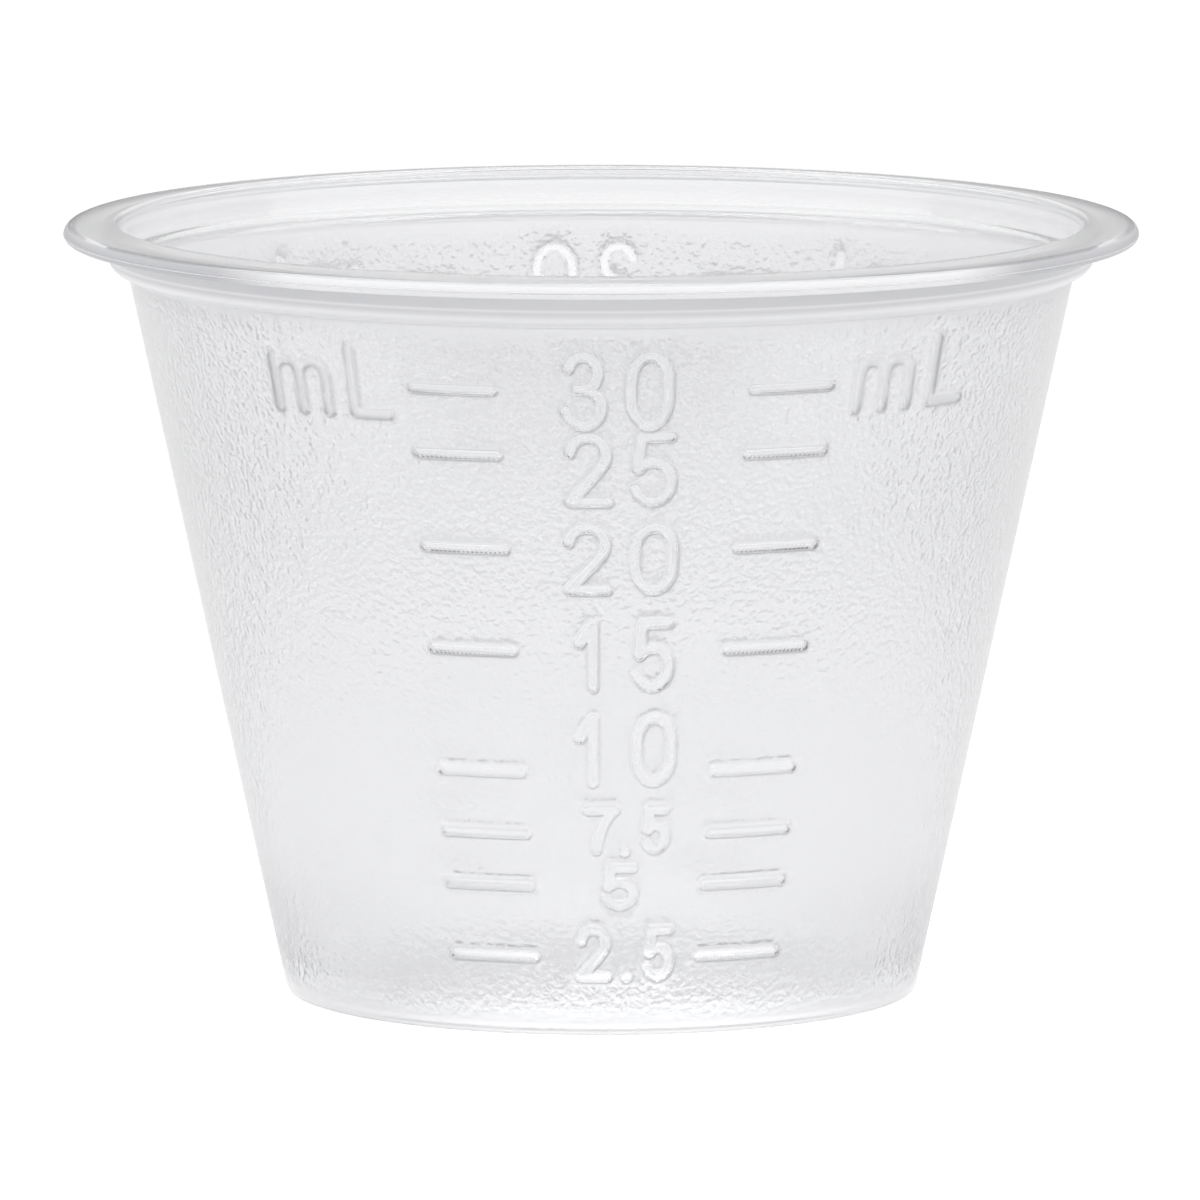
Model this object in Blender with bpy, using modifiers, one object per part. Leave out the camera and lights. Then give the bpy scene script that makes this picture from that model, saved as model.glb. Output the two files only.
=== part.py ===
"""Disposable graduated medicine cup, thermoformed in one piece from thin clear sheet.

The cup stands on the XY plane with its axis on Z. One section is turned about Z: a flat floor,
a tapered wall, an outward shoulder step, a short neck, and a flange whose edge turns down into a lip.
Graduation ribs are pressed outwards through the wall, front (-Y) and back (+Y).
"""
from math import atan, atan2, cos, pi, radians, sin, tan

import bmesh
import bpy
from mathutils import Vector

# Lengths below are in millimetres and turned into metres by MM
MM = 0.001
TINY = 1e-6

# Rim and flange
LIP_RADIUS = 25.07
HEIGHT = 36.18
FLANGE_FALL = 0.16
FLANGE_SHEET = 0.42
LIP_DROP = 0.70
LIP_SHEET = 0.45
LIP_ROUND = 0.48
LIP_EDGE_ROUND = 0.10
THROAT_ROUND = 0.26

# Neck and shoulder step
NECK_RADIUS = 22.97
NECK_DRAFT = 0.03
NECK_SHEET = 0.52
SHOULDER_HEIGHT = 33.75
SHOULDER_RISE = 0.31
SHOULDER_ROUND = 0.24

# Tapered wall and floor
WALL_TOP_RADIUS = 22.05
WALL_BASE_RADIUS = 14.72
WALL_SHEET = 0.30
FLOOR_SHEET = 0.35
HEEL_ROUND = 0.35

# Contents of the cup below each graduation rib, in millilitres, highest rib first
RIB_CONTENTS = (30.3, 26.2, 20.7, 15.3, 9.6, 7.0, 4.95, 2.35)
TOP_RIB_DROP = 3.05
RIB_LENGTH = 4.15
RIB_WIDTH = 0.58
RIB_RISE = 0.22
RIB_GAP_ANGLE_TOP = radians(15.6)
RIB_GAP_ANGLE_BASE = radians(13.2)
RIB_FACES = (-pi / 2, pi / 2)

# Facets of the turned body, of its rounded corners and of the ribs
TURN_STEPS = 90
ROUND_STEPS = 2
RIB_SPANS = 2

MERGE_DISTANCE = 1e-5

WALL_SLOPE = (WALL_TOP_RADIUS - WALL_BASE_RADIUS) / SHOULDER_HEIGHT
WALL_ANGLE = atan(WALL_SLOPE)


def clear_scene():
    """Remove what the scene holds."""
    for item in list(bpy.data.objects):
        bpy.data.objects.remove(item, do_unlink=True)


def new_collection(name):
    """Return a new collection linked to the scene."""
    collection = bpy.data.collections.new(name)
    bpy.context.scene.collection.children.link(collection)
    return collection


def clear_plastic():
    """Frosted clear polypropylene."""
    material = bpy.data.materials.new("clear_polypropylene")
    material.use_nodes = True
    shader = material.node_tree.nodes["Principled BSDF"]
    shader.inputs["Base Color"].default_value = (0.80, 0.80, 0.82, 1.0)
    shader.inputs["Roughness"].default_value = 0.32
    shader.inputs["Metallic"].default_value = 0.0
    return material


def outer_radius(height):
    """Outer radius of the tapered wall at a height."""
    return WALL_BASE_RADIUS + WALL_SLOPE * height


def inner_radius(height):
    """Inner radius of the tapered wall at a height, one sheet inside the outer one."""
    return outer_radius(height) - WALL_SHEET / cos(WALL_ANGLE)


def rounded(corners):
    """Turn (radius, height, rounding) corners into an outline with an arc at each rounding.

    An arc touches both of its edges. It starts and ends rounding * tan(turn / 2) from the corner.
    """
    outline = []
    for index, (x, z, rounding) in enumerate(corners):
        corner = Vector((x, z))
        if rounding == 0:
            outline.append(corner)
            continue
        before = (Vector(corners[index - 1][:2]) - corner).normalized()
        after = (Vector(corners[index + 1][:2]) - corner).normalized()
        opening = before.angle(after)
        reach = rounding / tan(opening / 2)
        centre = corner + (before + after).normalized() * (rounding / sin(opening / 2))
        start = corner + before * reach - centre
        end = corner + after * reach - centre
        turn = atan2(start.x * end.y - start.y * end.x, start.dot(end))
        for step in range(ROUND_STEPS + 1):
            angle = turn * step / ROUND_STEPS
            spun = Vector((start.x * cos(angle) - start.y * sin(angle),
                           start.x * sin(angle) + start.y * cos(angle)))
            outline.append(centre + spun)
    return outline


def section():
    """Closed half section of the cup, from the inner floor over the rim to the underside."""
    crest = HEIGHT - FLANGE_FALL
    neck_foot = SHOULDER_HEIGHT + SHOULDER_RISE
    throat = NECK_RADIUS - NECK_SHEET
    ledge_drop = WALL_SHEET * tan((pi / 2 - WALL_ANGLE) / 2)
    underside = crest - FLANGE_SHEET
    lip_inside = LIP_RADIUS - LIP_SHEET
    return rounded([
        (0, FLOOR_SHEET, 0),
        (inner_radius(FLOOR_SHEET), FLOOR_SHEET, HEEL_ROUND),
        (inner_radius(SHOULDER_HEIGHT + ledge_drop), SHOULDER_HEIGHT + ledge_drop, SHOULDER_ROUND),
        (throat, neck_foot + ledge_drop, SHOULDER_ROUND),
        (throat + NECK_DRAFT, HEIGHT, THROAT_ROUND),
        (LIP_RADIUS, crest, LIP_ROUND),
        (LIP_RADIUS, crest - LIP_DROP, LIP_EDGE_ROUND),
        (lip_inside, crest - LIP_DROP, LIP_EDGE_ROUND),
        (lip_inside - LIP_EDGE_ROUND, underside, LIP_EDGE_ROUND),
        (NECK_RADIUS + NECK_DRAFT, underside + FLANGE_FALL / 2, LIP_EDGE_ROUND),
        (NECK_RADIUS, neck_foot, SHOULDER_ROUND),
        (WALL_TOP_RADIUS, SHOULDER_HEIGHT, SHOULDER_ROUND),
        (WALL_BASE_RADIUS, 0, HEEL_ROUND),
        (0, 0, 0),
    ])


def turned(name, outline, collection):
    """Turn an outline about Z with a Screw modifier."""
    mesh = bpy.data.meshes.new(name)
    points = [(point.x * MM, 0, point.y * MM) for point in outline]
    edges = [(index, index + 1) for index in range(len(points) - 1)]
    mesh.from_pydata(points, edges, [])
    body = bpy.data.objects.new(name, mesh)
    collection.objects.link(body)
    screw = body.modifiers.new("turn", 'SCREW')
    screw.axis = 'Z'
    screw.angle = 2 * pi
    screw.steps = TURN_STEPS
    screw.render_steps = TURN_STEPS
    screw.use_merge_vertices = True
    screw.merge_threshold = MERGE_DISTANCE
    screw.use_smooth_shade = True
    return body


def contents_below(height):
    """Volume of the inner cone frustum from the floor up to a height, in cubic millimetres."""
    floor_radius = inner_radius(FLOOR_SHEET)
    radius = inner_radius(height)
    return pi / 3 * (height - FLOOR_SHEET) * (floor_radius ** 2 + floor_radius * radius + radius ** 2)


def level_of(contents):
    """Height of the liquid level for given contents: the frustum's volume solved for its height."""
    floor_radius = inner_radius(FLOOR_SHEET)
    apex = floor_radius / WALL_SLOPE
    return FLOOR_SHEET + (3 * contents / (pi * WALL_SLOPE ** 2) + apex ** 3) ** (1 / 3) - apex


def rib_heights():
    """Heights of the ribs: the top one hangs below the shoulder, the rest follow their contents."""
    top = SHOULDER_HEIGHT - TOP_RIB_DROP
    full = contents_below(top)
    return [level_of(full * contents / RIB_CONTENTS[0]) for contents in RIB_CONTENTS]


def rib_profile():
    """Distances along a rib from its start, each with the share of full thickness there."""
    end = RIB_WIDTH / 2
    stations = [(0.04 * end, 0.30), (0.40 * end, 0.80), (end, 1.0)]
    middle = RIB_LENGTH - 2 * end
    inner = [(end + middle * step / RIB_SPANS, 1.0) for step in range(1, RIB_SPANS)]
    mirrored = [(RIB_LENGTH - distance, share) for distance, share in reversed(stations)]
    return stations + inner + mirrored


def rib_bars(name, surface_radius, collection):
    """Round bars that lie along the wall at each graduation, sunk so that RIB_RISE stands proud.

    A bar has the radius whose chord at the wall's surface is RIB_WIDTH wide.
    """
    bar_radius = (RIB_WIDTH ** 2 / 4 + RIB_RISE ** 2) / (2 * RIB_RISE)
    sunk = RIB_RISE - bar_radius
    heights = rib_heights()
    curve = bpy.data.curves.new(name, 'CURVE')
    curve.dimensions = '3D'
    curve.bevel_depth = bar_radius * MM
    curve.bevel_resolution = 2
    curve.use_fill_caps = True
    for height in heights:
        share = (height - heights[-1]) / (heights[0] - heights[-1])
        gap = RIB_GAP_ANGLE_BASE + (RIB_GAP_ANGLE_TOP - RIB_GAP_ANGLE_BASE) * share
        radius = surface_radius(height) + sunk * cos(WALL_ANGLE)
        level = height - sunk * sin(WALL_ANGLE)
        for face in RIB_FACES:
            for side in (-1, 1):
                spline = curve.splines.new('POLY')
                stations = rib_profile()
                spline.points.add(len(stations) - 1)
                for point, (distance, thickness) in zip(spline.points, stations):
                    angle = face + side * (gap + distance / radius)
                    place = (radius * cos(angle) * MM, radius * sin(angle) * MM, level * MM)
                    point.co = (*place, 1)
                    point.radius = thickness
    guide = bpy.data.objects.new(name + "_path", curve)
    collection.objects.link(guide)
    bars = as_mesh(guide, name, collection)
    bars.hide_render = True
    bars.display_type = 'WIRE'
    return bars


def as_mesh(guide, name, collection):
    """Replace a curve object by a closed mesh object in the same place."""
    bpy.context.view_layer.update()
    evaluated = guide.evaluated_get(bpy.context.evaluated_depsgraph_get())
    mesh = bpy.data.meshes.new_from_object(evaluated)
    shape = bmesh.new()
    shape.from_mesh(mesh)
    bmesh.ops.remove_doubles(shape, verts=shape.verts, dist=TINY)
    bmesh.ops.recalc_face_normals(shape, faces=shape.faces)
    shape.to_mesh(mesh)
    shape.free()
    solid = bpy.data.objects.new(name, mesh)
    solid.matrix_world = guide.matrix_world
    collection.objects.link(solid)
    bpy.data.objects.remove(guide, do_unlink=True)
    return solid


def combine(body, tool, operation):
    """Add a live Boolean of another object to a body."""
    step = body.modifiers.new(tool.name, 'BOOLEAN')
    step.operation = operation
    step.object = tool
    step.solver = 'EXACT'


def build():
    """Build the cup."""
    clear_scene()
    parts = new_collection("medicine_cup")
    cutters = new_collection("cutters")
    cup = turned("medicine_cup", section(), parts)
    cup.data.materials.append(clear_plastic())
    beads = rib_bars("rib_beads", outer_radius, cutters)
    grooves = rib_bars("rib_grooves", inner_radius, cutters)
    combine(cup, beads, 'UNION')
    combine(cup, grooves, 'DIFFERENCE')


build()
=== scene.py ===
"""Looks of the graduated medicine cup: clear polypropylene sheet with a pebble grain on its wall.

The cup is one closed surface: the turned section of the sheet, with the graduation ribs, numbers and
units pressed outwards through both of its faces. Lengths are in millimetres until the mesh is made.
"""

from math import atan, cos, pi, radians, sin, tan

import bpy
import numpy as np
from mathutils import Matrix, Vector


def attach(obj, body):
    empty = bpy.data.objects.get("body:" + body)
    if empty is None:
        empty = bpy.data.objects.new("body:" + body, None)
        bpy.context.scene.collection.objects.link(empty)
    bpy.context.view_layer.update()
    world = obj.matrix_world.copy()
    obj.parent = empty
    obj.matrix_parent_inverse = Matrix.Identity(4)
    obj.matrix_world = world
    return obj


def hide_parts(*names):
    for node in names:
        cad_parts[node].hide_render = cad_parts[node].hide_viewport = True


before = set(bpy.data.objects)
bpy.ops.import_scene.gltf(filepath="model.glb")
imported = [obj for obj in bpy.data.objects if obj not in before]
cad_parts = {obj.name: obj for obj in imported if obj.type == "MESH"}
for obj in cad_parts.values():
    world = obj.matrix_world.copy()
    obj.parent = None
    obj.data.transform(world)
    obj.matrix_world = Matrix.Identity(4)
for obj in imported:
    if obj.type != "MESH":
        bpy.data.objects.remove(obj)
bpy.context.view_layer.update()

MM = 0.001
NODE = "medicine_cup"
LEAST_DIVISOR = 1e-9

# Section of the sheet: the CAD node's measures
LIP_RADIUS = 25.07
HEIGHT = 36.18
FLANGE_FALL = 0.16
FLANGE_SHEET = 0.42
LIP_DROP = 0.70
LIP_SHEET = 0.45
LIP_ROUND = 0.48
LIP_EDGE_ROUND = 0.10
THROAT_ROUND = 0.26
NECK_RADIUS = 22.97
NECK_DRAFT = 0.03
NECK_SHEET = 0.52
SHOULDER_HEIGHT = 33.75
SHOULDER_RISE = 0.31
SHOULDER_ROUND = 0.24
WALL_TOP_RADIUS = 22.05
WALL_BASE_RADIUS = 14.72
WALL_SHEET = 0.30
FLOOR_SHEET = 0.35
HEEL_ROUND = 0.35
WALL_SLOPE = (WALL_TOP_RADIUS - WALL_BASE_RADIUS) / SHOULDER_HEIGHT
WALL_ANGLE = atan(WALL_SLOPE)

# Roundings that are larger than the CAD node's
LIP_FOOT_ROUND = 0.28
NECK_FOOT_ROUND = 0.70
LEDGE_ROUND = 0.50
THROAT_FOOT_ROUND = 0.30

# Graduation ribs, a pair for each of the contents in mL below them. A pair starts RIB_NEARER nearer to
# the block's middle than its gap angle says, and is moved sideways by RIB_SHIFT
RIB_CONTENTS = np.array((30.3, 26.2, 20.7, 15.3, 9.6, 7.0, 4.95, 2.35))
TOP_RIB_DROP = 3.05
RIB_LENGTH = 4.40
RIB_SHIFT = -0.10
RIB_NEARER = 0.12
RIB_GAP_ANGLE_TOP = radians(15.6)
RIB_GAP_ANGLE_BASE = radians(13.2)
RIB_HALF_TOP = 0.17
RIB_FLANK = 0.17
RIB_RISE = 0.24

# Numbers and units
STROKE_HALF_TOP = 0.19
STROKE_FLANK = 0.13
STROKE_FOOT = STROKE_HALF_TOP + STROKE_FLANK
STROKE_RISE = 0.22
UNIT_RISE = 0.16

# Flanks of all marks, and a painted shade on their lower right flanks as if light fell from the upper
# left
INNER_SOFTENING = 0.03
FLANK_LEAN = 0.3
FLANK_TURN = 3.0
# Painted shade on the lower right flanks: the side it lies on, and how far it reaches from a flank's
# middle
PAINTED_SHADE_SIDE = (0.6, -0.8)
PAINTED_SHADE_REACH = 0.17
MARK_MARGIN = 1.5
NO_MARK_NEAR = 9.0

# Clear plastic
PLASTIC_TINT = (0.986, 0.988, 0.999, 1.0)
PLASTIC_CLEARNESS = 0.97
PLASTIC_IOR = 1.49
PLASTIC_ROUGHNESS = 0.06
HAZE = 0.20
MARK_HAZE = 1.2
MARK_HAZE_RISE = 0.6 * STROKE_RISE

# Pebble grain
GRAIN_ROUGHNESS = 0.06
GRAIN_SCALE = 3500.0
GRAIN_DETAIL = 1.0
GRAIN_INSIDE = 0.32
GRAIN_BEHIND = 0.3
GRAIN_DEPTH = 0.18
GRAIN_GRAZING = 1.2

# Milky plastic: white, and a darker bluish colour for painted shade and painted reflection
MILK_WHITE = (0.985, 0.985, 1.0, 1.0)
MILK_PAINTED_SHADE_COLOUR = (0.495, 0.497, 0.525, 1.0)
MILK_ROUGHNESS = 0.35
MILK = 0.38
MILK_GRAZING = 1.0
MILK_ON_TOPS = 0.2
# On the lower right flanks the milk grows, and carries the painted shade there
MILK_ON_PAINTED_FLANK_SHADE = 2.0
# Painted shade on the upper middle of each block's outer face, at most this share
PAINTED_SHADE_MIDDLE = 0.33
CLEAR_FLOOR_HEIGHT = FLOOR_SHEET + 0.2

# How the looks change up the cup: (height, share) stops with straight runs between them
GRAIN_STOPS = (
    (0.9, 0.0), (1.4, 0.35), (2.4, 0.4), (3.4, 0.25), (6.5, 0.10), (12.0, 0.15), (16.0, 0.28),
    (20.0, 0.60), (25.0, 1.5))
MARK_STOPS = ((4.0, 1.0), (6.0, 0.4), (12.0, 0.4), (18.0, 1.0))
RIM_HAZE_STOPS = (
    (SHOULDER_HEIGHT - 0.3, 0.0), (SHOULDER_HEIGHT, 1.0), (HEIGHT - 1.0, 1.0), (HEIGHT - 0.8, 0.0))
MILK_STOPS = (
    (0.0, 1.2), (0.3, 1.2), (0.5, 0.25), (1.4, 0.6), (3.0, 1.0), (33.7, 1.0), (33.9, 1.9),
    (34.2, 1.9), (34.4, 2.2), (35.2, 2.2), (35.35, 1.9), (35.9, 1.9), (36.0, 0.5), (36.04, 0.45))
MILK_INSIDE_STOPS = (
    (8.0, 0.4), (26.0, 1.0), (28.0, 1.7), (33.6, 1.7), (34.4, 0.2), (34.8, 1.5), (35.8, 0.5))
# Painted shade up the outer face: darker low on the wall and fading up to 20 mm, a line at the shoulder,
# on the neck in the lip's shade, broken by a thin unshaded line, and on the flange's top
PAINTED_SHADE_STOPS = (
    (1.5, 0.0), (2.1, 0.42), (3.6, 0.40), (5.0, 0.36), (7.4, 0.15), (10.0, 0.10), (16.0, 0.06),
    (20.0, 0.0), (33.5, 0.0), (33.7, 0.28), (33.8, 0.0), (34.15, 0.0), (34.4, 0.46), (34.45, 0.46),
    (34.54, 0.05), (34.63, 0.46), (35.2, 0.46), (35.3, 0.0), (35.95, 0.0), (36.02, 0.46))
# Painted shade on the inner face: darker below 26 mm and much less above 28 mm, as the inside of the cup
# in shade
PAINTED_SHADE_INSIDE_STOPS = ((26.0, 0.46), (28.0, 0.18))
# Where up the cup the painted shade of the block's upper middle lies
PAINTED_SHADE_MIDDLE_STOPS = ((24.0, 0.0), (32.0, 1.0), (33.4, 1.0), (33.6, 0.0))

# How they change round it: (turn from the block's middle, share) stops
# Where round the cup the painted shade of the block's upper middle lies
PAINTED_SHADE_MIDDLE_TURN_STOPS = (
    (radians(-34.0), 0.0), (radians(-18.0), 1.0), (radians(10.0), 1.0), (radians(20.0), 0.0))
# Painted reflection: the lip's outer face goes darker and bluish towards the left and right sides, as if
# it mirrored dark surroundings
LIP_PAINTED_REFLECTION_TURN_STOPS = ((radians(37.0), 0.0), (radians(48.0), 0.8))

# Surroundings, by a ray's direction: its upward part, and the square of its sideways part
HORIZON_LEVEL = 0.25
HORIZON_BAND = (0.04, 0.22)
SIDE_LIFT = 0.5
SIDE_BAND = (0.1, 0.5)

# Floor, its size in metres
FLOOR_SIZE = 3.0
PAPER_SHADE = 0.8
PAPER_GLOW = 0.22
CAMERA_GLOW = 0.02
# Painted light on the floor: a fill that lifts the cup's shadow round its base, and a pool before the cup
FILL_GLOW = 0.34
FILL_REACH = 19.0
POOL_GLOW = 0.50
POOL_CENTRE = (0.8, -14.0)
POOL_REACH = (12.0, 15.0)
POOL_EDGE = (0.3, 1.35)

# Camera, in metres but for its sensor and lens
CAMERA_AZIMUTH = radians(-3.0)
CAMERA_ELEVATION = radians(7.75)
CAMERA_DISTANCE = 0.7994
CAMERA_AIM_HEIGHT = 0.01827
CAMERA_ASIDE = 0.000056
CAMERA_SENSOR = 36.0
CAMERA_LENS = 512.85
CAMERA_CLIP = 0.01

# Mesh
TURN_STEPS = 144
ROUND_STEPS = 6
BOW_STEPS = 14
WALL_CELL = 1.0
NECK_CELL = 0.1
OUTER_CELL = 0.10
INNER_CELL = 0.22
LONGEST_CELL = 9.0
CELL_GROWTH = 0.9
BASE_TO_CELL = 1.42


def rounded(corners):
    """Outline through (radius, height, rounding) corners, with an arc of ROUND_STEPS at each rounding.

    An arc starts and ends rounding / tan(opening / 2) from its corner, and its centre lies
    rounding / sin(opening / 2) from it on the bisector.
    """
    outline = []
    for index, (x, z, rounding) in enumerate(corners):
        corner = np.array((x, z))
        if rounding == 0:
            outline.append(corner[None])
            continue
        before = np.array(corners[index - 1][:2]) - corner
        after = np.array(corners[index + 1][:2]) - corner
        before = before / np.hypot(*before)
        after = after / np.hypot(*after)
        opening = np.arccos(before @ after)
        bisector = (before + after) / np.hypot(*(before + after))
        centre = corner + bisector * rounding / sin(opening / 2)
        start = corner + before * rounding / tan(opening / 2) - centre
        end = corner + after * rounding / tan(opening / 2) - centre
        turn = np.arctan2(start[0] * end[1] - start[1] * end[0], start @ end)
        angle = turn * np.linspace(0, 1, ROUND_STEPS + 1)
        outline.append(centre + np.stack([start[0] * np.cos(angle) - start[1] * np.sin(angle),
                                          start[0] * np.sin(angle) + start[1] * np.cos(angle)], 1))
    return np.concatenate(outline)


def outer_radius(height):
    """Outer radius of the tapered wall: base radius plus slope times height."""
    return WALL_BASE_RADIUS + WALL_SLOPE * height


def inner_radius(height):
    """Inner radius of the tapered wall, one sheet inside the outer one along the normal."""
    return outer_radius(height) - WALL_SHEET / cos(WALL_ANGLE)


def section():
    """Half section of the sheet as (radius, height) points, from the inner floor to the underside.

    The inner ledge lies higher than the shoulder by sheet * tan(half the corner's turn), which keeps
    it one sheet away.
    """
    crest = HEIGHT - FLANGE_FALL
    neck_foot = SHOULDER_HEIGHT + SHOULDER_RISE
    throat = NECK_RADIUS - NECK_SHEET
    ledge_rise = WALL_SHEET * tan((pi / 2 - WALL_ANGLE) / 2)
    underside = crest - FLANGE_SHEET
    lip_inside = LIP_RADIUS - LIP_SHEET
    return rounded([
        (0, FLOOR_SHEET, 0),
        (inner_radius(FLOOR_SHEET), FLOOR_SHEET, HEEL_ROUND),
        (inner_radius(SHOULDER_HEIGHT + ledge_rise), SHOULDER_HEIGHT + ledge_rise, LEDGE_ROUND),
        (throat, neck_foot + ledge_rise, THROAT_FOOT_ROUND),
        (throat + NECK_DRAFT, HEIGHT, THROAT_ROUND),
        (LIP_RADIUS, crest, LIP_ROUND),
        (LIP_RADIUS, crest - LIP_DROP, LIP_FOOT_ROUND),
        (lip_inside, crest - LIP_DROP, LIP_EDGE_ROUND),
        (lip_inside - LIP_EDGE_ROUND, underside, LIP_EDGE_ROUND),
        (NECK_RADIUS + NECK_DRAFT, underside + FLANGE_FALL / 2, LIP_EDGE_ROUND),
        (NECK_RADIUS, neck_foot, NECK_FOOT_ROUND),
        (WALL_TOP_RADIUS, SHOULDER_HEIGHT, SHOULDER_ROUND),
        (WALL_BASE_RADIUS, 0, HEEL_ROUND),
        (0, 0, 0),
    ])


def spaced(outline):
    """The outline with its long stretches cut into equal steps, short ones on the neck's outer face."""
    pieces = []
    for start, end in zip(outline[:-1], outline[1:]):
        on_neck = max(abs(start[0] - NECK_RADIUS), abs(end[0] - NECK_RADIUS)) < 2 * NECK_DRAFT
        longest = NECK_CELL if on_neck else WALL_CELL
        steps = max(1, int(np.ceil(np.hypot(*(end - start)) / longest)))
        share = np.arange(steps)[:, None] / steps
        pieces.append(start + (end - start) * share)
    pieces.append(outline[-1:])
    return np.concatenate(pieces)


def rib_heights():
    """Heights of the ribs, from the contents below them as shares of those below the top one.

    The contents are pi / 3 * depth * (r * r + r * R + R * R), with r and R the inner radii at the
    floor and at the rib. They are solved for the height through the cone that the wall belongs to.
    """
    floor_radius = inner_radius(FLOOR_SHEET)
    top = SHOULDER_HEIGHT - TOP_RIB_DROP
    top_radius = inner_radius(top)
    ends = floor_radius ** 2 + floor_radius * top_radius + top_radius ** 2
    full = pi / 3 * (top - FLOOR_SHEET) * ends
    apex = floor_radius / WALL_SLOPE
    contents = full * RIB_CONTENTS / RIB_CONTENTS[0]
    return FLOOR_SHEET + np.cbrt(3 * contents / (pi * WALL_SLOPE ** 2) + apex ** 3) - apex


def straight(*points):
    """A stroke through points."""
    return np.array(points, float)


def bow(centre, reach, start, end):
    """A stroke along an ellipse: centre + reach * (cos a, sin a), a in degrees from start to end."""
    angle = np.radians(np.linspace(start, end, BOW_STEPS))
    return np.array(centre) + np.array(reach) * np.stack([np.cos(angle), np.sin(angle)], 1)


def joined(*strokes):
    """Strokes run together into one."""
    return np.concatenate(strokes)


# Centre lines of the characters in a box from (-1, -1) to (1, 1)
def nought():
    """An upright oval with nearly straight sides."""
    return [joined(bow((0, 0.26), (1, 0.74), 0, 180), bow((0, -0.26), (1, 0.74), 180, 360),
                   straight((1, 0.26)))]


def one():
    """A stem with a flag."""
    return [straight((0.85, -1), (0.85, 1), (-0.9, 0.38))]


def two():
    """A bowl open to the left, a slant and a foot."""
    return [joined(bow((-0.02, 0.44), (0.92, 0.56), 172, -28),
                   straight((0.45, -0.10), (-0.95, -1), (1, -1)))]


def three():
    """Two bowls open to the left, with a short bar between them."""
    return [joined(bow((-0.05, 0.52), (0.78, 0.48), 165, -80),
                   bow((-0.03, -0.48), (0.97, 0.52), 85, -170)),
            straight((-0.35, 0.04), (0.05, 0.04))]


def five():
    """A top bar, a short back and a bowl open to the left."""
    return [joined(straight((0.85, 1), (-0.62, 1), (-0.80, 0.02)),
                   bow((-0.02, -0.38), (0.98, 0.62), 142, -160))]


def seven():
    """A top bar and a curved slant."""
    return [joined(straight((-1, 1), (1, 1)), bow((3.0, -1.6), (3.2, 2.8), 112, 168))]


def point():
    """A dot: a stroke that is hardly longer than it is wide."""
    return [straight((-0.05, 0), (0.05, 0))]


def letter_m():
    """Three stems and two arches."""
    return [straight((-1, -1), (-1, 0.98)),
            joined(bow((-0.5, 0.35), (0.5, 0.62), 180, 0), straight((0, -1))),
            joined(bow((0.5, 0.35), (0.5, 0.62), 180, 0), straight((1, -1)))]


def letter_l():
    """A stem and a foot."""
    return [straight((-1, 1), (-1, -1), (1, -1))]


CHARACTERS = {"0": nought, "1": one, "2": two, "3": three, "5": five, "7": seven, ".": point,
              "m": letter_m, "L": letter_l}
UNIT_LETTERS = "mL"

# Each row: height of its middle, full height, then characters as (name, arc place, full width)
ROWS = (
    (30.74, 3.90, (("3", -1.90, 2.38), ("0", 1.10, 2.36))),
    (27.04, 3.70, (("2", -1.66, 2.44), ("5", 1.30, 2.42))),
    (22.82, 3.60, (("2", -1.66, 2.44), ("0", 1.38, 2.38))),
    (18.22, 3.66, (("1", -1.66, 1.35), ("5", 1.39, 2.22))),
    (13.70, 3.66, (("1", -1.59, 1.35), ("0", 1.49, 2.22))),
    (9.92, 2.54, (("7", -1.04, 1.50), ("5", 1.61, 1.55))),
    (8.86, 0.54, ((".", 0.20, 0.56),)),
    (7.20, 2.45, (("5", 0.0, 1.95),)),
    (3.98, 2.90, (("2", -1.18, 1.85), ("5", 1.80, 1.72))),
    (2.80, 0.54, ((".", 0.35, 0.56),)),
    (30.50, 3.00, (("m", -15.98, 3.64),)),
    (30.61, 2.88, (("m", 12.72, 3.57),)),
    (30.84, 3.60, (("L", -12.19, 2.38),)),
    (30.99, 3.57, (("L", 16.73, 2.65),)),
)


def row_segments(height, tall, characters):
    """Segments (x0, z0, x1, z1) of a row's centre lines, each box scaled to its width and height."""
    segments = []
    for name, place, wide in characters:
        reach = np.array((wide / 2 - STROKE_FOOT, tall / 2 - STROKE_FOOT))
        for stroke in CHARACTERS[name]():
            line = np.array((place, height)) + stroke * reach
            segments.append(np.concatenate([line[:-1], line[1:]], 1))
    return np.concatenate(segments)


def block_marks():
    """Marks of one block: (reference radius, segments, half top, flank, rise) for each row and rib.

    A rib's gap angle from the block's middle runs straight from the lowest rib's to the top one's.
    """
    marks = []
    for height, tall, characters in ROWS:
        rise = UNIT_RISE if characters[0][0] in UNIT_LETTERS else STROKE_RISE
        marks.append((outer_radius(height), row_segments(height, tall, characters),
                      STROKE_HALF_TOP, STROKE_FLANK, rise))
    heights = rib_heights()
    for height in heights:
        share = (height - heights[-1]) / (heights[0] - heights[-1])
        gap = RIB_GAP_ANGLE_BASE + (RIB_GAP_ANGLE_TOP - RIB_GAP_ANGLE_BASE) * share
        radius = outer_radius(height)
        start = gap * radius - RIB_NEARER
        near = start + RIB_HALF_TOP + RIB_FLANK
        far = start + RIB_LENGTH - RIB_HALF_TOP - RIB_FLANK
        segments = np.array(((near, height, far, height), (-near, height, -far, height)))
        segments[:, (0, 2)] += RIB_SHIFT
        marks.append((radius, segments, RIB_HALF_TOP, RIB_FLANK, RIB_RISE))
    return marks


MARKS = block_marks()


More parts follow.
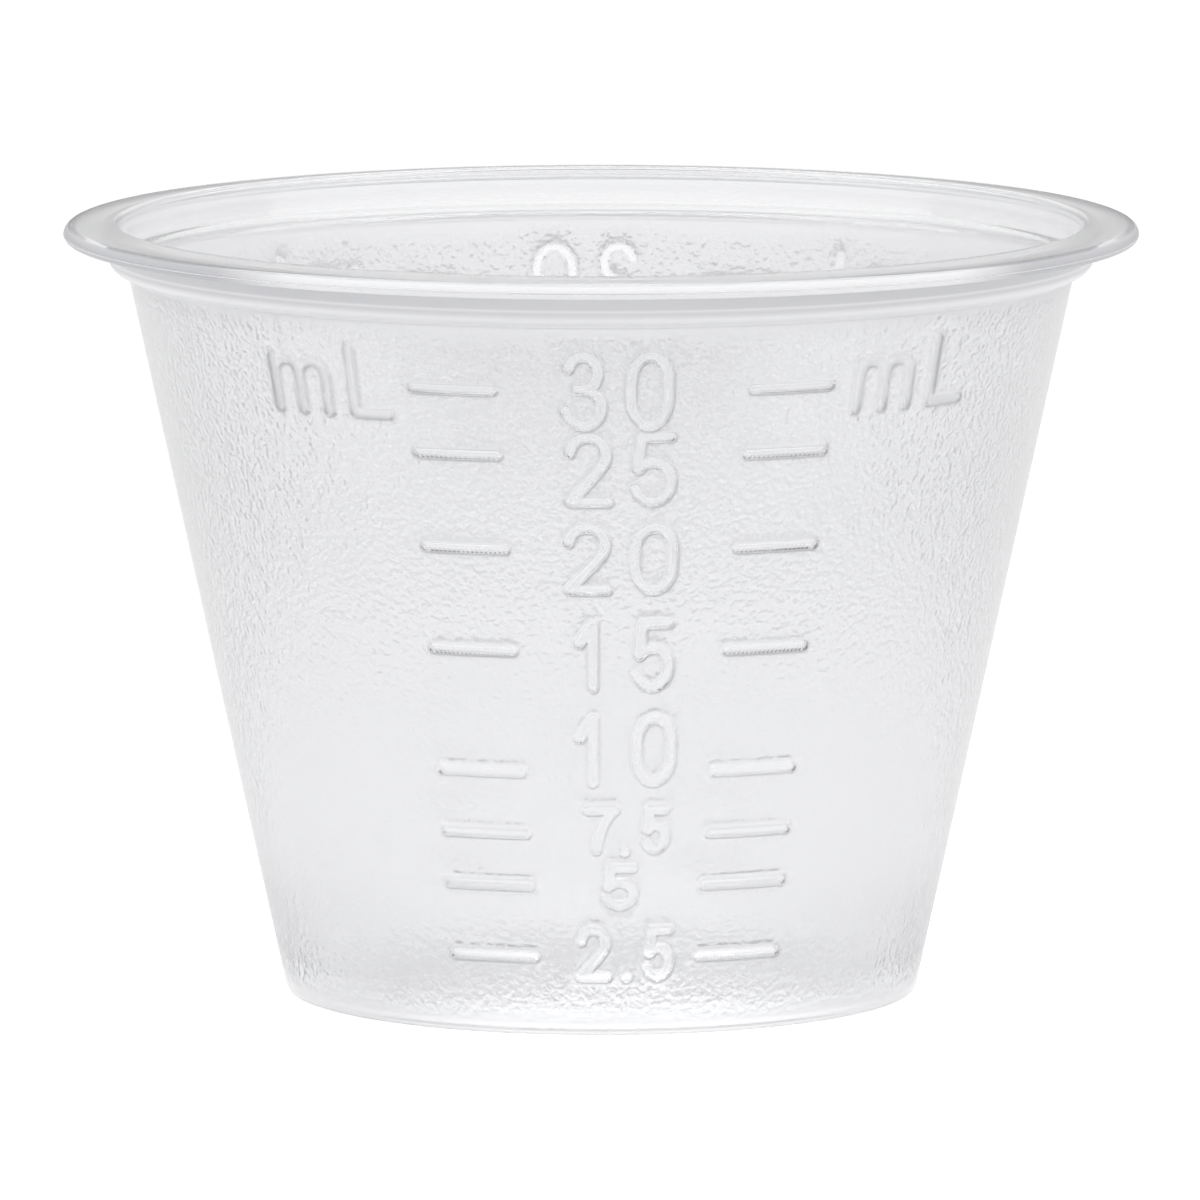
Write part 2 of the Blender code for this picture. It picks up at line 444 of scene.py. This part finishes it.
def distance(points, segments):
    """Least distance from each point to the segments, and its direction away from them.

    The nearest place on a segment is the point's projection, clamped to the ends.
    """
    start = segments[:, :2]
    along = segments[:, 2:] - start
    offset = points[:, None] - start
    share = (offset * along).sum(2) / np.maximum((along ** 2).sum(1), LEAST_DIVISOR)
    nearest = offset - along * np.clip(share, 0, 1)[..., None]
    length = np.sqrt((nearest ** 2).sum(2))
    first = length.argmin(1)
    every = np.arange(len(points))
    away = length[every, first]
    return away, nearest[every, first] / np.maximum(away, LEAST_DIVISOR)[:, None]


def turn_from_block(azimuth):
    """Turn from the middle of the nearer block: the front one is at -pi / 2, the back one at pi / 2."""
    return (azimuth + pi / 2 + pi / 2) % pi - pi / 2


def relief(azimuth, height, inside):
    """Height of the relief above the wall, distance to the nearest flank, and share of painted shade on
    the lower right flank.

    A mark stands at its full rise within half top of its centre line and falls by a smooth step over
    its flank. The flank is 1 + FLANK_LEAN * up + FLANK_TURN * max(across * sin(turn), 0) times its
    length in the direction (across, up) away from the line: longer above it, and on the side turned
    away from the block's middle. On the inner face it starts nearer the line and ends further out, by
    INNER_SOFTENING each. The share of painted shade, which darkens the lower right flanks as if light
    fell from the upper left, is 1 in the flank's middle and falls straight to 0 at PAINTED_SHADE_REACH
    from it, times the part of the direction that lies along PAINTED_SHADE_SIDE.
    """
    turn = turn_from_block(azimuth)
    soft = np.where(inside, INNER_SOFTENING, 0.0)
    rise = np.zeros(len(azimuth))
    edge = np.full(len(azimuth), NO_MARK_NEAR)
    painted_flank_shade = np.zeros(len(azimuth))
    for radius, segments, half_top, flank, full in MARKS:
        low = segments[:, (1, 3)].min() - MARK_MARGIN
        high = segments[:, (1, 3)].max() + MARK_MARGIN
        left = segments[:, (0, 2)].min() - MARK_MARGIN
        right = segments[:, (0, 2)].max() + MARK_MARGIN
        arc = turn * radius
        near = np.flatnonzero((height > low) & (height < high) & (arc > left) & (arc < right))
        if len(near) == 0:
            continue
        away, direction = distance(np.stack([arc[near], height[near]], 1), segments)
        turned = np.maximum(direction[:, 0] * np.sin(turn[near]), 0)
        slant = flank * (1 + FLANK_LEAN * direction[:, 1] + FLANK_TURN * turned)
        step = np.clip((away - half_top + soft[near]) / (slant + 2 * soft[near]), 0, 1)
        rise[near] = np.maximum(rise[near], full * (1 - step * step * (3 - 2 * step)))
        to_flank = np.abs(away - half_top - flank / 2)
        edge[near] = np.minimum(edge[near], to_flank)
        # Painted shade on the lower right flanks, as if light fell from the upper left
        hat = np.clip(1 - to_flank / PAINTED_SHADE_REACH, 0, 1)
        painted_flank_shade[near] = np.maximum(painted_flank_shade[near], hat * np.maximum(direction @ PAINTED_SHADE_SIDE, 0))
    return rise, edge, painted_flank_shade


def wall_height(point):
    """Height at which the normal through a section point meets the wall's outer face.

    It is the point's place along the wall's slope less the base corner's, times cos(WALL_ANGLE).
    """
    along = point[:, 0] * sin(WALL_ANGLE) + point[:, 1] * cos(WALL_ANGLE)
    return (along - WALL_BASE_RADIUS * sin(WALL_ANGLE)) * cos(WALL_ANGLE)


def on_wall(point):
    """Whether a section point lies on the tapered wall, either face, clear of its roundings."""
    foot = wall_height(point)
    gap = outer_radius(foot) - point[:, 0]
    return ((foot > HEEL_ROUND + FLOOR_SHEET) & (foot < SHOULDER_HEIGHT - SHOULDER_ROUND)
            & (gap < 2 * WALL_SHEET))


def edge_keys(first, second, count):
    """One number for each edge, the same from either side: lower number * count + higher number."""
    return np.minimum(first, second) * count + np.maximum(first, second)


def refine(places, triangles, wanted):
    """Newest-vertex bisection until no triangle's base is longer than the wanted length there.

    A triangle is (a, b, c) with base ab. Cutting it at the base's middle m gives (c, a, m) and
    (b, c, m), whose bases are its old sides. A neighbour that meets a cut side is cut at its own
    base first, so the mesh stays whole.
    """
    while True:
        a, b, c = triangles.T
        length, target = wanted(places, a, b)
        due = length > target
        if not due.any():
            return places, triangles
        count = len(places)
        sides = np.stack([edge_keys(a, b, count), edge_keys(b, c, count), edge_keys(c, a, count)])
        keys, index = np.unique(sides.ravel(), return_inverse=True)
        index = index.reshape(3, -1)
        cut = np.zeros(len(keys), bool)
        cut[index[0, due]] = True
        while True:
            pulled = (cut[index[1]] | cut[index[2]]) & ~cut[index[0]]
            if not pulled.any():
                break
            cut[index[0, pulled]] = True
        cut_keys = keys[cut]
        middles = (places[cut_keys // count] + places[cut_keys % count]) / 2
        places = np.concatenate([places, middles])
        for _ in range(2):
            a, b, c = triangles.T
            old = (a < count) & (b < count)
            base = np.where(old, edge_keys(a, b, count), -1)
            spot = np.minimum(np.searchsorted(cut_keys, base), len(cut_keys) - 1)
            split = cut_keys[spot] == base
            middle = count + spot[split]
            first = np.stack([c[split], a[split], middle], 1)
            second = np.stack([b[split], c[split], middle], 1)
            triangles = np.concatenate([triangles[~split], first, second])


def graded(place, stops):
    """Share at each place: straight between the (place, share) stops, level beyond the end ones."""
    places, shares = zip(*stops)
    return np.interp(place, places, shares)


def sheet_shares(azimuth, section_point, rise, painted_flank_shade, inside):
    """Shares of grain, haze, milk and painted shade at each point of the sheet, by name.

    The grain follows its stops on the wall, is GRAIN_INSIDE times as strong on the inner face, and
    fades out as a mark rises. The haze lies on the marks and below the rim. The milk follows its stops,
    falls to MILK_ON_TOPS of them on the upper half of a mark's rise, grows to MILK_ON_PAINTED_FLANK_SHADE
    of them on the flanks with painted shade, and is absent on the inner floor. The painted shade is the
    most of what its stops, the painted flank shade, the upper middle of the block and the sides of the
    lip ask
    for: shade under the lip, low on the wall, on the inner wall, on the lower right flanks and on the
    block's upper middle, and a dark reflection on the lip's sides. MARK_STOPS say how strongly the marks
    show in haze, milk and painted shade.
    """
    height = section_point[:, 1]
    foot = wall_height(section_point)
    turn = turn_from_block(azimuth)
    strength = graded(foot, MARK_STOPS)
    mark = np.clip(rise / MARK_HAZE_RISE, 0, 1)
    upper_half = np.clip(2 * rise / STROKE_RISE - 1, 0, 1)
    # Painted shade of the lower right flanks, on the outer face only
    painted_flank_shade = painted_flank_shade * strength * ~inside

    on_face = graded(foot, GRAIN_STOPS) * np.where(inside, GRAIN_INSIDE, 1)
    grain = np.where(on_wall(section_point), (1 - mark) * on_face, 0)

    haze = np.maximum(mark * strength * MARK_HAZE, graded(height, RIM_HAZE_STOPS))

    milk = np.where(inside, graded(height, MILK_INSIDE_STOPS), graded(height, MILK_STOPS))
    milk = milk * (1 - (1 - MILK_ON_TOPS) * strength * upper_half)
    milk = milk * (1 - (1 - MILK_ON_PAINTED_FLANK_SHADE) * painted_flank_shade)
    milk[inside & (height < CLEAR_FLOOR_HEIGHT)] = 0

    # Painted shade: the share by which the milk's colour turns darker
    painted_shade = np.where(inside, graded(height, PAINTED_SHADE_INSIDE_STOPS), graded(height, PAINTED_SHADE_STOPS))
    # The painted shade of the lower right flanks darkens the milk's colour
    painted_shade = np.maximum(painted_shade, painted_flank_shade)
    # Painted shade on the upper middle of each block's outer face
    middle = graded(turn, PAINTED_SHADE_MIDDLE_TURN_STOPS) * graded(height, PAINTED_SHADE_MIDDLE_STOPS)
    painted_shade = np.maximum(painted_shade, PAINTED_SHADE_MIDDLE * middle * ~inside)
    # Painted reflection: the lip darker and bluish towards its left and right sides
    lip = ~inside & (section_point[:, 0] > LIP_RADIUS - LIP_ROUND)
    painted_shade[lip] = np.maximum(painted_shade[lip], graded(np.abs(turn[lip]), LIP_PAINTED_REFLECTION_TURN_STOPS))
    return {"grain": grain, "haze": haze, "milk": milk, "painted_shade": painted_shade}


def grid_triangles(number):
    """Two triangles for each cell of a grid of point numbers, their bases on the cell's diagonal."""
    low_left = number[:-1, :-1].ravel()
    low_right = number[1:, :-1].ravel()
    high_left = number[:-1, 1:].ravel()
    high_right = number[1:, 1:].ravel()
    return np.concatenate([np.stack([high_left, low_right, low_left], 1),
                           np.stack([low_right, high_left, high_right], 1)])


def fan(first, second, pole):
    """Triangles from a ring's sides, first to second, to one pole."""
    return np.stack([first, second, np.full(len(first), pole)], 1)


def cup_surface():
    """Points, triangles, and the shares of grain, haze, milk and painted shade of the cup.

    A grid over azimuth and section steps is cut finer round the marks on the wall. A point is
    (radius * cos(azimuth), radius * sin(azimuth), height), from the section, and a point of the wall
    moves along the wall's normal by the relief at its azimuth and height. The seam lies on +X, away
    from the marks, and each pole closes with a fan.
    """
    outline = spaced(section())
    top = np.argmax(outline[:, 1])

    def section_at(step):
        """Point of the outline at a step that may lie between two."""
        every = np.arange(len(outline))
        return np.stack([np.interp(step, every, outline[:, 0]),
                         np.interp(step, every, outline[:, 1])], 1)

    def wanted(spots, a, b):
        """Length of each base ab, and the length wanted there.

        The cell is shortest at a flank and grows by CELL_GROWTH times the distance from it. A base is
        BASE_TO_CELL times as long as the cell's sides.
        """
        middle = (spots[a] + spots[b]) / 2
        start, end = section_at(spots[a, 1]), section_at(spots[b, 1])
        centre = section_at(middle[:, 1])
        across = (spots[a, 0] - spots[b, 0]) * centre[:, 0]
        length = np.sqrt(across ** 2 + ((start - end) ** 2).sum(1))
        target = np.full(len(a), LONGEST_CELL)
        wall = np.flatnonzero(on_wall(centre))
        inside = middle[wall, 1] < top
        _, edge, _ = relief(middle[wall, 0], wall_height(centre[wall]), inside)
        cell = np.where(inside, INNER_CELL, OUTER_CELL)
        target[wall] = cell + CELL_GROWTH * np.maximum(edge - STROKE_FLANK, 0)
        return length, target * BASE_TO_CELL

    columns = np.arange(TURN_STEPS + 1) * (2 * pi / TURN_STEPS)
    rows = np.arange(1, len(outline) - 1).astype(float)
    grid = np.stack(np.meshgrid(columns, rows, indexing="ij"), 2)
    number = np.arange(len(columns) * len(rows)).reshape(len(columns), len(rows))
    places, triangles = refine(grid.reshape(-1, 2), grid_triangles(number), wanted)

    azimuth = places[:, 0]
    inside = places[:, 1] < top
    section_point = section_at(places[:, 1])
    wall = on_wall(section_point)
    rise = np.zeros(len(places))
    # The relief also gives the painted shade of the lower right flanks
    painted_flank_shade = np.zeros(len(places))
    rise[wall], _, painted_flank_shade[wall] = relief(azimuth[wall], wall_height(section_point[wall]), inside[wall])
    shares = sheet_shares(azimuth, section_point, rise, painted_flank_shade, inside)
    radius = section_point[:, 0] + rise * cos(WALL_ANGLE)
    height = section_point[:, 1] - rise * sin(WALL_ANGLE)
    points = np.stack([radius * np.cos(azimuth), radius * np.sin(azimuth), height], 1)

    # The last column becomes the first one, and the points that it leaves over go
    merged = np.arange(len(points))
    merged[number[-1]] = number[0]
    floor_pole, base_pole = len(points), len(points) + 1
    points = np.concatenate([points, [[0, 0, outline[0, 1]], [0, 0, outline[-1, 1]]]])
    inner_ring = merged[number[:, 0]]
    outer_ring = merged[number[:, -1]]
    triangles = np.concatenate([merged[triangles],
                                fan(inner_ring[:-1], inner_ring[1:], floor_pole),
                                fan(outer_ring[1:], outer_ring[:-1], base_pole)])
    used, triangles = np.unique(triangles, return_inverse=True)
    shares = {name: np.append(share, (0, 0))[used] for name, share in shares.items()}
    return points[used], triangles.reshape(-1, 3), shares


def mesh_object(name, points, triangles):
    """A smooth-shaded mesh object from points in millimetres and triangles."""
    mesh = bpy.data.meshes.new(name)
    mesh.vertices.add(len(points))
    mesh.vertices.foreach_set("co", (points * MM).ravel())
    mesh.loops.add(3 * len(triangles))
    mesh.loops.foreach_set("vertex_index", triangles.astype(np.int32).ravel())
    mesh.polygons.add(len(triangles))
    mesh.polygons.foreach_set("loop_start", np.arange(0, 3 * len(triangles), 3))
    mesh.update(calc_edges=True)
    mesh.validate()
    mesh.shade_smooth()
    piece = bpy.data.objects.new(name, mesh)
    bpy.context.scene.collection.objects.link(piece)
    return piece


class Value:
    """A shader socket that numbers and other sockets can be reckoned with."""

    def __init__(self, graph, socket):
        self.graph = graph
        self.socket = socket

    def _math(self, operation, *terms):
        """A Math node's result for the terms."""
        return self.graph.add("ShaderNodeMath", {"operation": operation}, dict(enumerate(terms)))[0]

    def __add__(self, other):
        return self._math("ADD", self, other)

    def __radd__(self, other):
        return self._math("ADD", other, self)

    def __sub__(self, other):
        return self._math("SUBTRACT", self, other)

    def __rsub__(self, other):
        return self._math("SUBTRACT", other, self)

    def __mul__(self, other):
        return self._math("MULTIPLY", self, other)

    def __rmul__(self, other):
        return self._math("MULTIPLY", other, self)

    def exponential(self):
        """The number e to the power of the value."""
        return self._math("EXPONENT", self)

    def at_least(self, least):
        """The value, or the least one where it is smaller."""
        return self._math("MAXIMUM", self, least)

    def clamped(self):
        """The value held between 0 and 1."""
        return self._math("MINIMUM", self.at_least(0.0), 1.0)


class Outputs:
    """A node's outputs, by name or number, as values."""

    def __init__(self, graph, node):
        self.graph = graph
        self.node = node

    def __getitem__(self, name):
        return Value(self.graph, self.node.outputs[name])


class Graph:
    """A material's or world's nodes, added one call at a time."""

    def __init__(self, tree):
        self.tree = tree
        tree.nodes.clear()

    def add(self, kind, settings=None, inputs=None):
        """A node of a type, its settings set first, then its sockets' values or links."""
        node = self.tree.nodes.new(kind)
        for name, value in (settings or {}).items():
            setattr(node, name, value)
        for name, value in (inputs or {}).items():
            if isinstance(value, Value):
                self.tree.links.new(value.socket, node.inputs[name])
            else:
                node.inputs[name].default_value = value
        return Outputs(self, node)

    def ramp(self, value, band, start, end):
        """A smooth step from start to end as the value crosses the band."""
        return self.add("ShaderNodeMapRange", {"interpolation_type": 'SMOOTHSTEP'}, {
            "Value": value, "From Min": band[0], "From Max": band[1],
            "To Min": start, "To Max": end})["Result"]


def clear_polypropylene():
    """Clear plastic with a pebble grain, mixed with a milky plastic.

    The grain is a bump of noise * grain * (1 + GRAIN_GRAZING * facing), and GRAIN_BEHIND of that where
    a ray meets the sheet from within. The clear plastic's alpha is 1 - HAZE * haze. The milky share is
    MILK * milk * (1 + MILK_GRAZING * facing), held between 0 and 1, and none from within. Its colour
    runs from white to the darker, bluish MILK_PAINTED_SHADE_COLOUR by the share of painted shade, which
    paints shade and dark reflections into the plastic.
    """
    material = bpy.data.materials.new("clear_polypropylene")
    material.use_nodes = True
    graph = Graph(material.node_tree)

    def share_of(name):
        """The mesh's share of that name."""
        return graph.add("ShaderNodeAttribute", {"attribute_name": name})["Fac"]

    grain = share_of("grain")
    place = graph.add("ShaderNodeTexCoord")["Object"]
    pebbles = graph.add("ShaderNodeTexNoise", {"noise_dimensions": "3D"}, {
        "Vector": place, "Scale": GRAIN_SCALE, "Detail": GRAIN_DETAIL})["Fac"]
    inside = graph.add("ShaderNodeNewGeometry")["Backfacing"]
    facing = graph.add("ShaderNodeLayerWeight")["Facing"]
    felt = grain * (1 + GRAIN_GRAZING * facing) * (1 - (1 - GRAIN_BEHIND) * inside)
    bump = graph.add("ShaderNodeBump", {}, {
        "Height": pebbles * felt, "Distance": GRAIN_DEPTH * MM})["Normal"]
    clear = graph.add("ShaderNodeBsdfPrincipled", {}, {
        "Base Color": PLASTIC_TINT,
        "Roughness": PLASTIC_ROUGHNESS + GRAIN_ROUGHNESS * grain,
        "IOR": PLASTIC_IOR,
        "Alpha": 1 - HAZE * share_of("haze"),
        "Transmission Weight": PLASTIC_CLEARNESS,
        "Normal": bump,
    })["BSDF"]
    # Painted shade and painted reflection: the milk's colour goes darker by this share
    colour = graph.add("ShaderNodeMix", {"data_type": 'RGBA'}, {
        0: share_of("painted_shade"), 6: MILK_WHITE, 7: MILK_PAINTED_SHADE_COLOUR})[2]
    milky = graph.add("ShaderNodeBsdfPrincipled", {}, {
        "Base Color": colour,
        "Roughness": MILK_ROUGHNESS,
        "IOR": PLASTIC_IOR,
    })["BSDF"]
    share = (MILK * share_of("milk") * (1 + MILK_GRAZING * facing)).clamped() * (1 - inside)
    both = graph.add("ShaderNodeMixShader", {}, {0: share, 1: clear, 2: milky})["Shader"]
    graph.add("ShaderNodeOutputMaterial", {}, {"Surface": both})
    return material


def surroundings():
    """A white world in which bent rays alone meet a dimmer band low over the horizon.

    The band is HORIZON_LEVEL bright, and SIDE_LIFT of what it lacks comes back to the left and right.
    """
    world = bpy.data.worlds.new("studio")
    bpy.context.scene.world = world
    world.use_nodes = True
    graph = Graph(world.node_tree)
    way = graph.add("ShaderNodeTexCoord")["Generated"]
    axes = graph.add("ShaderNodeSeparateXYZ", {}, {"Vector": way})
    path = graph.add("ShaderNodeLightPath")
    low = graph.ramp(axes["Z"], HORIZON_BAND, 1.0, 0.0)
    aside = graph.ramp(axes["X"] * axes["X"], SIDE_BAND, 0.0, 1.0)
    lack = (1 - HORIZON_LEVEL) * low * (1 - SIDE_LIFT * aside)
    bent = (path["Is Glossy Ray"] + path["Is Transmission Ray"]).clamped()
    sky = graph.add("ShaderNodeBackground", {}, {
        "Color": (1, 1, 1, 1), "Strength": 1 - bent * lack})["Background"]
    graph.add("ShaderNodeOutputWorld", {}, {"Surface": sky})


def pale_floor():
    """Pale diffuse paper that keeps the cup's shadow, with a glow for seen rays.

    The glow is PAPER_GLOW, with CAMERA_GLOW for camera rays, a fill of FILL_GLOW that falls by
    exp(-distance from the base / FILL_REACH), which is painted light that lifts much of the cup's
    shadow round its base, and an oval pool of POOL_GLOW before the cup, which is a painted pool of
    light.
    """
    bpy.ops.mesh.primitive_plane_add(size=FLOOR_SIZE)
    floor = bpy.context.object
    floor.name = "floor"
    material = bpy.data.materials.new("pale_floor")
    material.use_nodes = True
    graph = Graph(material.node_tree)

    def length(vector):
        """Length of a vector."""
        return graph.add("ShaderNodeVectorMath", {"operation": 'LENGTH'}, {0: vector})["Value"]

    path = graph.add("ShaderNodeLightPath")
    seen = (path["Is Camera Ray"] + path["Is Glossy Ray"] + path["Is Transmission Ray"]).clamped()
    paper = graph.add("ShaderNodeBsdfDiffuse", {}, {
        "Color": (PAPER_SHADE, PAPER_SHADE, PAPER_SHADE, 1)})["BSDF"]
    place = graph.add("ShaderNodeTexCoord")["Object"]
    beyond = (length(place) - WALL_BASE_RADIUS * MM).at_least(0.0)
    fill = (beyond * (-1 / (FILL_REACH * MM))).exponential()
    from_pool = graph.add("ShaderNodeMapping", {"vector_type": 'TEXTURE'}, {
        "Vector": place,
        "Location": (POOL_CENTRE[0] * MM, POOL_CENTRE[1] * MM, 0),
        "Scale": (POOL_REACH[0] * MM, POOL_REACH[1] * MM, 1)})["Vector"]
    pool = graph.ramp(length(from_pool), POOL_EDGE, 1.0, 0.0)
    # Painted light: the fill and the pool brighten the floor round and before the cup
    level = PAPER_GLOW + CAMERA_GLOW * path["Is Camera Ray"] + FILL_GLOW * fill + POOL_GLOW * pool
    glow = graph.add("ShaderNodeEmission", {}, {"Color": seen * level, "Strength": 1.0})["Emission"]
    both = graph.add("ShaderNodeAddShader", {}, {0: paper, 1: glow})["Shader"]
    graph.add("ShaderNodeOutputMaterial", {}, {"Surface": both})
    floor.data.materials.append(material)


def camera():
    """Long lens, a little above the rim, slightly to the left of the front block's middle."""
    side = Vector((cos(CAMERA_AZIMUTH), sin(CAMERA_AZIMUTH), 0))
    back = Vector((sin(CAMERA_AZIMUTH) * cos(CAMERA_ELEVATION),
                   -cos(CAMERA_AZIMUTH) * cos(CAMERA_ELEVATION),
                   sin(CAMERA_ELEVATION)))
    data = bpy.data.cameras.new("camera")
    data.sensor_width = CAMERA_SENSOR
    data.lens = CAMERA_LENS
    data.clip_start = CAMERA_CLIP
    eye = bpy.data.objects.new("camera", data)
    bpy.context.scene.collection.objects.link(eye)
    aim = Vector((0, 0, CAMERA_AIM_HEIGHT))
    eye.location = aim + back * CAMERA_DISTANCE - side * CAMERA_ASIDE
    eye.rotation_euler = (-back).to_track_quat('-Z', 'Y').to_euler()
    bpy.context.scene.camera = eye


def cup():
    """The cup, which stands for the CAD node."""
    points, triangles, shares = cup_surface()
    piece = mesh_object("cup", points, triangles)
    for name, share in shares.items():
        attribute = piece.data.attributes.new(name, 'FLOAT', 'POINT')
        attribute.data.foreach_set("value", share.astype(np.float32))
    piece.data.materials.append(clear_polypropylene())
    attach(piece, "root")
    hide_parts(NODE)


bpy.context.scene.view_settings.view_transform = 'Standard'
cup()
surroundings()
pale_floor()
camera()
